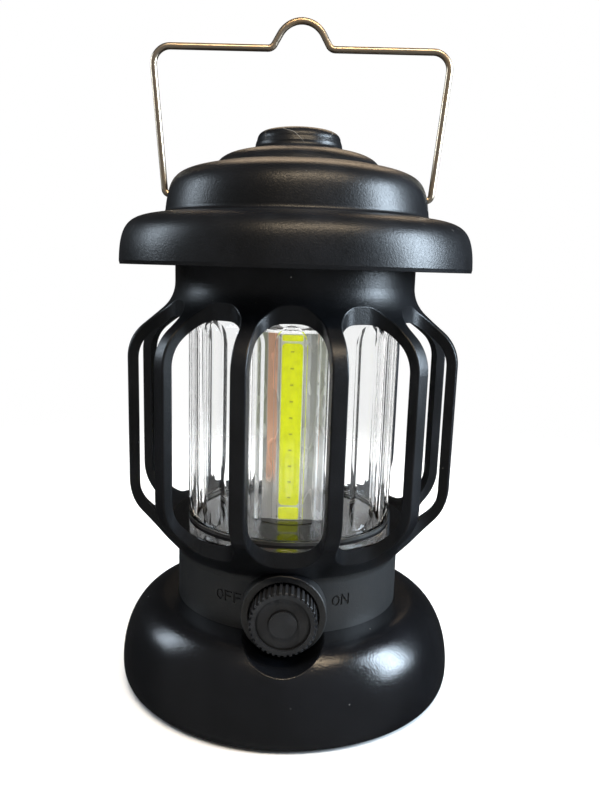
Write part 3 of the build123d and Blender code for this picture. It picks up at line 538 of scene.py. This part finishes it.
def board_white(name, turn):
    """White solder mask over the light strip's board, with two fine copper lines showing grey along it."""
    finish = Finish(name)
    x = finish.axes((0, 0, turn))[0]
    line = abs(x).band(3.45, 0.09, 0.06)
    mottle = finish.noise(0.8, 3.0)
    body = finish.mix(mottle, (0.74, 0.75, 0.74), (0.84, 0.85, 0.84))
    body = finish.mix(line * 0.8, body, (0.12, 0.12, 0.12))
    return finish.shade(
        Base_Color=body, Roughness=0.36 + 0.1 * mottle, Normal=finish.relief(line, 0.02, 0.6),
        # Painted light: the board's mask glows faintly, though it is no lamp.
        Emission_Color=body, Emission_Strength=0.18,
    )


def plated_wire(name):
    """Polished nickel wire with fine draw lines, a warm cast and faint dull patches."""
    finish = Finish(name)
    s = settings()
    draw = finish.noise(0.35, 2.0, stretch=(0.25, 1, 0.25))
    patch = finish.noise(5.0, 3.0).rise(0.45, 0.75)
    warm = tuple(value * shade for value, shade in zip(s.wire_colour, (1.0, 0.88, 0.74)))
    body = finish.mix(patch, s.wire_colour, warm)
    return finish.shade(
        Base_Color=body,
        Metallic=1.0,
        Roughness=0.26 + 0.06 * draw + 0.1 * patch,
        Normal=finish.relief(draw, 0.001),
    )


def bright_metal(name, colour, rough, grain_size):
    """Plated steel or brass with a fine brushed grain and slight stains."""
    finish = Finish(name)
    brush = finish.noise(grain_size, 2.0, stretch=(1, 0.2, 1))
    stain = finish.noise(2.5, 3.0).rise(0.45, 0.8)
    dull = tuple(value * 0.6 for value in colour)
    return finish.shade(
        Base_Color=finish.mix(stain, colour, dull),
        Metallic=1.0,
        Roughness=rough + 0.12 * brush + 0.15 * stain,
        Normal=finish.relief(brush, 0.01),
    )


def rubber(name, colour):
    """Soft matt rubber with a powdery bloom."""
    finish = Finish(name)
    grain = finish.noise(0.35, 3.0)
    bloom = finish.noise(4.0, 2.0).rise(0.4, 0.8)
    pale = tuple(value * 2.2 + 0.01 for value in colour)
    return finish.shade(
        Base_Color=finish.mix(bloom * 0.6, colour, pale),
        Roughness=0.74 + 0.1 * grain,
        Normal=finish.relief(grain, 0.03),
    )


def cell_jacket(name):
    """A cell's printed sleeve: a coloured band, a pale ring towards one end and bright metal at both ends."""
    finish = Finish(name)
    s = settings()
    across = abs(finish.axes()[0])
    end = across.rise(CELL_SLEEVE, CELL_SLEEVE + 0.3)
    ring = across.band(18.0, 0.5, 0.08)
    scuff = finish.noise(1.5, 3.0).rise(0.55, 0.8)
    body = finish.mix(scuff * 0.4, s.jacket_colour, (0.12, 0.16, 0.2))
    body = finish.mix(ring, body, (0.72, 0.70, 0.62))
    body = finish.mix(end, body, (0.7, 0.69, 0.66))
    return finish.shade(
        Base_Color=body, Metallic=end, Roughness=0.3 + 0.15 * scuff, Normal=finish.relief(scuff, 0.01)
    )


def driver_green(name):
    """Green circuit board: mask over faint copper tracks on a square raster."""
    finish = Finish(name)
    x, y = finish.axes()[:2]
    track = (x * 0.9).sine().greater((y * 0.9).sine()).rise(0.75, 0.9)
    mottle = finish.noise(1.0, 3.0)
    body = finish.mix(track, (0.006, 0.09, 0.030), (0.012, 0.17, 0.06))
    return finish.shade(Base_Color=body, Roughness=0.3 + 0.12 * mottle, Normal=finish.relief(track, 0.035))


def lead_sleeve(name, colour):
    """Glossy vinyl sleeve of an inner lead, with faint rings where it was bent."""
    finish = Finish(name)
    rings = finish.noise(0.7, 1.0, stretch=(0.3, 0.3, 1.5))
    pale = tuple(min(1.0, value * 1.5 + 0.01) for value in colour)
    return finish.shade(
        Base_Color=finish.mix(rings, colour, pale),
        Roughness=0.32 + 0.1 * rings,
        Normal=finish.relief(rings, 0.03),
    )


def floor_finish(name):
    """Pale matt board with a faint tooth, clear from below so that the underside can be looked at."""
    finish = Finish(name)
    x, y = finish.axes()[:2]
    tooth = finish.noise(1.5, 3.0)
    cloud = finish.noise(120.0, 2.0)
    colour = tuple(settings().floor_colour)
    dull = tuple(value * 0.985 for value in colour)
    edge = ((x * x + y * y) ** 0.5).rise(420.0, 190.0)
    under = finish.node("ShaderNodeNewGeometry", {}, {}, "Backfacing")
    return finish.shade(
        Base_Color=finish.mix(cloud, dull, colour),
        Roughness=0.62 + 0.1 * tooth,
        Normal=finish.relief(tooth, 0.02),
        Alpha=edge * (1 - under),
    )


# ---------------------------------------------------------------- operators


class LANTERN_OT_shells(bpy.types.Operator):
    """Finishes the cage, roof, base and the other black mouldings"""

    bl_idname = "lantern.shells"
    bl_label = "Shells"

    def execute(self, context):
        paint(satin_black("satin_black_shell"), "cage", "roof_cap", "roof_liner")
        paint(gloss_black("gloss_black_base"), "base_shell")
        paint(deck_black("gloss_black_deck"), "lamp_deck")
        paint(matte_black("matte_black_inner"), "base_plate", "battery_door", "battery_tray", "chimney_cap")
        return {"FINISHED"}


class LANTERN_OT_knob(bpy.types.Operator):
    """Finishes the dimmer knob, its shaft, its nut and the dimmer"""

    bl_idname = "lantern.knob"
    bl_label = "Dimmer knob"

    def execute(self, context):
        paint(knob_plastic("knob_satin"), "dimmer_knob")
        zinc = bright_metal("zinc_plate", (0.62, 0.63, 0.66), 0.28, 0.3)
        paint(zinc, "dimmer_nut", "base_screws", "roof_screws")
        tinned = bright_metal("tinned_steel", (0.70, 0.69, 0.65), 0.22, 0.25)
        paint(tinned, "dimmer", "knob_shaft", "lamp_pins")
        return {"FINISHED"}


class LANTERN_OT_chimney(bpy.types.Operator):
    """Finishes the clear chimney, the lamp's clear tube and the chimney's rubber ring"""

    bl_idname = "lantern.chimney"
    bl_label = "Clear chimney"

    def execute(self, context):
        paint(clear_plastic("clear_chimney", (0.975, 0.98, 0.98), 0.02, 1.16), "chimney")
        paint(clear_plastic("clear_tube", (0.985, 0.985, 0.98), 0.01, 1.08), "lamp_tube")
        paint(rubber("seal_rubber", (0.03, 0.03, 0.03)), "chimney_gasket")
        return {"FINISHED"}


class LANTERN_OT_lamp(bpy.types.Operator):
    """Finishes the reflector column, the boards and the light strips"""

    bl_idname = "lantern.lamp"
    bl_label = "Lamp"

    def execute(self, context):
        paint(reflector_film("reflector_film"), "reflector_column")
        for side in range(LAMP_SIDES):
            turn = -side * math.tau / LAMP_SIDES
            number = side + 1
            paint(board_white(f"board_mask_{number}", turn), f"cob_board_{number}")
            paint(phosphor(f"phosphor_{number}", turn), f"cob_phosphor_{number}")
        paint(driver_green("driver_mask"), "driver_board")
        paint(lead_sleeve("lead_red", (0.42, 0.012, 0.01)), "lead_positive")
        paint(lead_sleeve("lead_black", (0.012, 0.012, 0.012)), "lead_negative")
        return {"FINISHED"}


class LANTERN_OT_solder(bpy.types.Operator):
    """Builds the solder mounds at both ends of each light strip's board"""

    bl_idname = "lantern.solder"
    bl_label = "Solder mounds"

    def execute(self, context):
        """Each mound is half an ellipsoid: a quarter turn takes its radius by the sine and its height by the
        cosine, from the board out to the crown."""
        low, high = (np.array(corner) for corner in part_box("cob_board_1"))
        metal = bright_metal("solder", (0.76, 0.76, 0.75), 0.2, 0.4)
        rings, sides, radius, proud = 7, 20, 0.32 * MM, 0.2 * MM
        angle = np.arange(sides) * math.tau / sides
        reach = np.sin(np.linspace(math.pi / 2, 0.02, rings))
        rise = np.cos(np.linspace(math.pi / 2, 0.02, rings))
        parts = []
        for side in range(LAMP_SIDES):
            turn = side * math.tau / LAMP_SIDES
            spin = np.array(
                [[math.cos(turn), -math.sin(turn), 0], [math.sin(turn), math.cos(turn), 0], [0, 0, 1]]
            )
            for across in (-3.5 * MM, 3.5 * MM):
                for height in (low[2] + 0.8 * MM, high[2] - 0.8 * MM):
                    x = across + radius * reach[:, None] * np.cos(angle)
                    z = height + radius * reach[:, None] * np.sin(angle)
                    y = np.broadcast_to((low[1] - proud * rise)[:, None], x.shape)
                    dome = np.stack([x, y, z], axis=-1).reshape(-1, 3) @ spin.T
                    faces = [list(face) for face in grid_faces(rings, sides, close_columns=True)]
                    faces.append(list(range(sides))[::-1])
                    faces.append(list(range((rings - 1) * sides, rings * sides)))
                    parts.append((dome, faces))
        points, faces = join_arrays(parts)
        piece_from("board_solder", points, faces, metal, "lantern")
        return {"FINISHED"}


class LANTERN_OT_springs(bpy.types.Operator):
    """Builds the wound contact springs of the battery bay in place of their plain solids"""

    bl_idname = "lantern.springs"
    bl_label = "Contact springs"

    def execute(self, context):
        """Each spring is a tube along a conical helix: the angle grows with the way along x, and the radius
        falls evenly from the plate to the cell."""
        metal = bright_metal("spring_steel", (0.72, 0.71, 0.68), 0.2, 0.2)
        low, high = (np.array(corner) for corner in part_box("contact_springs"))
        turns = settings().spring_turns
        wire, wide, narrow = 0.35 * MM, 4.6 * MM, 2.6 * MM
        way = np.linspace(0, 1, 220)
        parts = []
        for number in range(1, CELL_COUNT + 1):
            cell_low, cell_high = (np.array(corner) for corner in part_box(f"battery_cell_{number}"))
            middle = (cell_low + cell_high) / 2
            if middle[0] > 0:
                start, end = low[0] + wire, cell_low[0] - wire
            else:
                start, end = high[0] - wire, cell_high[0] + wire
            radius = wide + (narrow - wide) * way
            turned = way * turns * math.tau
            along = start + (end - start) * way
            across = middle[1] + radius * np.cos(turned)
            height = middle[2] + radius * np.sin(turned)
            path = np.stack([along, across, height], axis=-1)
            parts.append(tube_along(path, wire, 10))
        points, faces = join_arrays(parts)
        springs = piece_from("spring_coils", points, faces, metal, "lantern")
        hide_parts("contact_springs")
        return {"FINISHED"}


class LANTERN_OT_battery(bpy.types.Operator):
    """Finishes the cells, the contact plates and the feet"""

    bl_idname = "lantern.battery"
    bl_label = "Battery bay and feet"

    def execute(self, context):
        jacket = cell_jacket("cell_sleeve")
        paint(jacket, *(f"battery_cell_{number}" for number in range(1, CELL_COUNT + 1)))
        contact = bright_metal("contact_plate", (0.74, 0.72, 0.66), 0.24, 0.3)
        paint(contact, "contact_plates", "contact_springs")
        paint(rubber("foot_rubber", (0.02, 0.02, 0.02)), "foot_pads")
        return {"FINISHED"}


class LANTERN_OT_handle(bpy.types.Operator):
    """Finishes the wire handle"""

    bl_idname = "lantern.handle"
    bl_label = "Wire handle"

    def execute(self, context):
        paint(plated_wire("plated_wire"), "bail")
        return {"FINISHED"}


def soft_box(name, place, target, size, power, colour):
    """A rectangular light at a place, turned towards a target, both in metres."""
    light = bpy.data.lights.new(name, "AREA")
    light.shape = "RECTANGLE"
    light.size, light.size_y = size
    light.energy = power
    light.color = colour
    made = bpy.data.objects.new(name, light)
    made.location = place
    made.rotation_euler = (Vector(target) - Vector(place)).to_track_quat("-Z", "Y").to_euler()
    bpy.context.scene.collection.objects.link(made)
    return made


class LANTERN_OT_studio(bpy.types.Operator):
    """Builds the pale floor, the soft lights, the room and the camera"""

    bl_idname = "lantern.studio"
    bl_label = "Studio"

    def execute(self, context):
        self.floor()
        self.room()
        self.lights()
        self.camera(context)
        return {"FINISHED"}

    def floor(self):
        half = 0.43
        points = np.array([[-half, -half, 0], [half, -half, 0], [half, half, 0], [-half, half, 0]])
        mesh = bpy.data.meshes.new("studio_floor")
        mesh.from_pydata(points.tolist(), [], [[0, 1, 2, 3]])
        mesh.materials.append(floor_finish("studio_floor"))
        made = bpy.data.objects.new("studio_floor", mesh)
        made.visible_glossy = False
        bpy.context.scene.collection.objects.link(made)

    def room(self):
        """White to the eye and through the clear parts, and dimmer as a light, brighter towards the back."""
        world = bpy.data.worlds.new("studio_room")
        bpy.context.scene.world = world
        world.use_nodes = True
        nodes = Nodes(world.node_tree)
        direction = nodes.node("ShaderNodeTexCoord", {}, {}, "Generated")
        y = nodes.node("ShaderNodeSeparateXYZ", {}, {"Vector": direction}, "Y")
        path = nodes.node("ShaderNodeLightPath", {}, {}, "Is Camera Ray")
        through = Number(nodes, path.socket.node.outputs["Is Transmission Ray"])
        behind = y.rise(-0.45, 0.35)
        seen = through * (0.22 + 0.78 * behind)
        dim = 0.17 - 0.14 * behind
        strength = path.greater(seen).greater(dim)
        back = nodes.node("ShaderNodeBackground", {}, {"Color": (1.0, 1.0, 1.0), "Strength": strength})
        nodes.node("ShaderNodeOutputWorld", {}, {"Surface": back})

    def lights(self):
        power = settings().window_power
        middle, low, high = (0, 0, 0.09), (0, 0, 0.06), (0, 0, 0.12)
        cool, warm, white = (0.72, 0.86, 1.0), (1.0, 0.80, 0.55), (1.0, 0.99, 0.97)
        soft_box("window_right", (0.60, -0.10, 0.30), middle, (0.24, 0.40), power * 2.0, cool)
        soft_box("fill_left", (-0.60, 0.08, 0.34), middle, (0.16, 0.26), power * 0.3, (0.76, 0.88, 1.0))
        soft_box("ceiling_back", (0.05, 0.62, 0.62), high, (0.5, 0.2), power * 0.2, (1.0, 0.76, 0.52))
        soft_box("lamp_front", (0.10, -0.34, 0.62), low, (0.5, 0.07), power * 0.5, warm)
        top = soft_box("ceiling_top", (0.0, -0.05, 0.95), (0, 0, 0.05), (0.9, 0.9), power * 3.2, white)
        top.visible_glossy = False

    def camera(self, context):
        """A camera on a circle round the lantern's axis, looking a little down and rolled a little."""
        distance, height = 0.22436, 0.11914
        orbit, down, roll = math.radians(0.9), math.radians(12.49), math.radians(1.62)
        right, ahead = Vector((1, 0, 0)), Vector((0, math.cos(down), -math.sin(down)))
        up = Vector((0, math.sin(down), math.cos(down)))
        across = math.cos(roll) * right + math.sin(roll) * up
        upward = math.cos(roll) * up - math.sin(roll) * right
        axes = Matrix((across, upward, -ahead)).transposed().to_4x4()
        spot = Matrix.Translation((0, -distance, height))
        lens = bpy.data.cameras.new("studio_camera")
        lens.lens = 35.54
        lens.sensor_width = 36.0
        lens.shift_x, lens.shift_y = 0.0119, 0.0557
        lens.clip_start = 0.01
        made = bpy.data.objects.new("studio_camera", lens)
        made.matrix_world = Matrix.Rotation(orbit, 4, "Z") @ spot @ axes
        context.scene.collection.objects.link(made)
        context.scene.camera = made
        context.scene.view_settings.view_transform = "Standard"


OPERATORS = (
    LANTERN_OT_shells,
    LANTERN_OT_knob,
    LANTERN_OT_chimney,
    LANTERN_OT_lamp,
    LANTERN_OT_solder,
    LANTERN_OT_battery,
    LANTERN_OT_springs,
    LANTERN_OT_handle,
    LANTERN_OT_studio,
)


class LANTERN_PT_panel(bpy.types.Panel):
    """Lists the lantern's sizes, colours and builders"""

    bl_idname = "LANTERN_PT_panel"
    bl_label = "Camping lantern"
    bl_space_type = "VIEW_3D"
    bl_region_type = "UI"
    bl_category = "Lantern"

    def draw(self, context):
        for name in LanternSettings.__annotations__:
            self.layout.prop(context.scene.lantern, name)
        for operator in OPERATORS:
            self.layout.operator(operator.bl_idname)


CLASSES = (LanternSettings, *OPERATORS, LANTERN_PT_panel)


def register():
    for cls in CLASSES:
        bpy.utils.register_class(cls)
    bpy.types.Scene.lantern = bpy.props.PointerProperty(type=LanternSettings)


def unregister():
    del bpy.types.Scene.lantern
    for cls in reversed(CLASSES):
        bpy.utils.unregister_class(cls)


def main():
    """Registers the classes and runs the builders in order."""
    register()
    for operator in OPERATORS:
        group, name = operator.bl_idname.split(".")
        getattr(getattr(bpy.ops, group), name)()


if __name__ == "__main__":
    main()
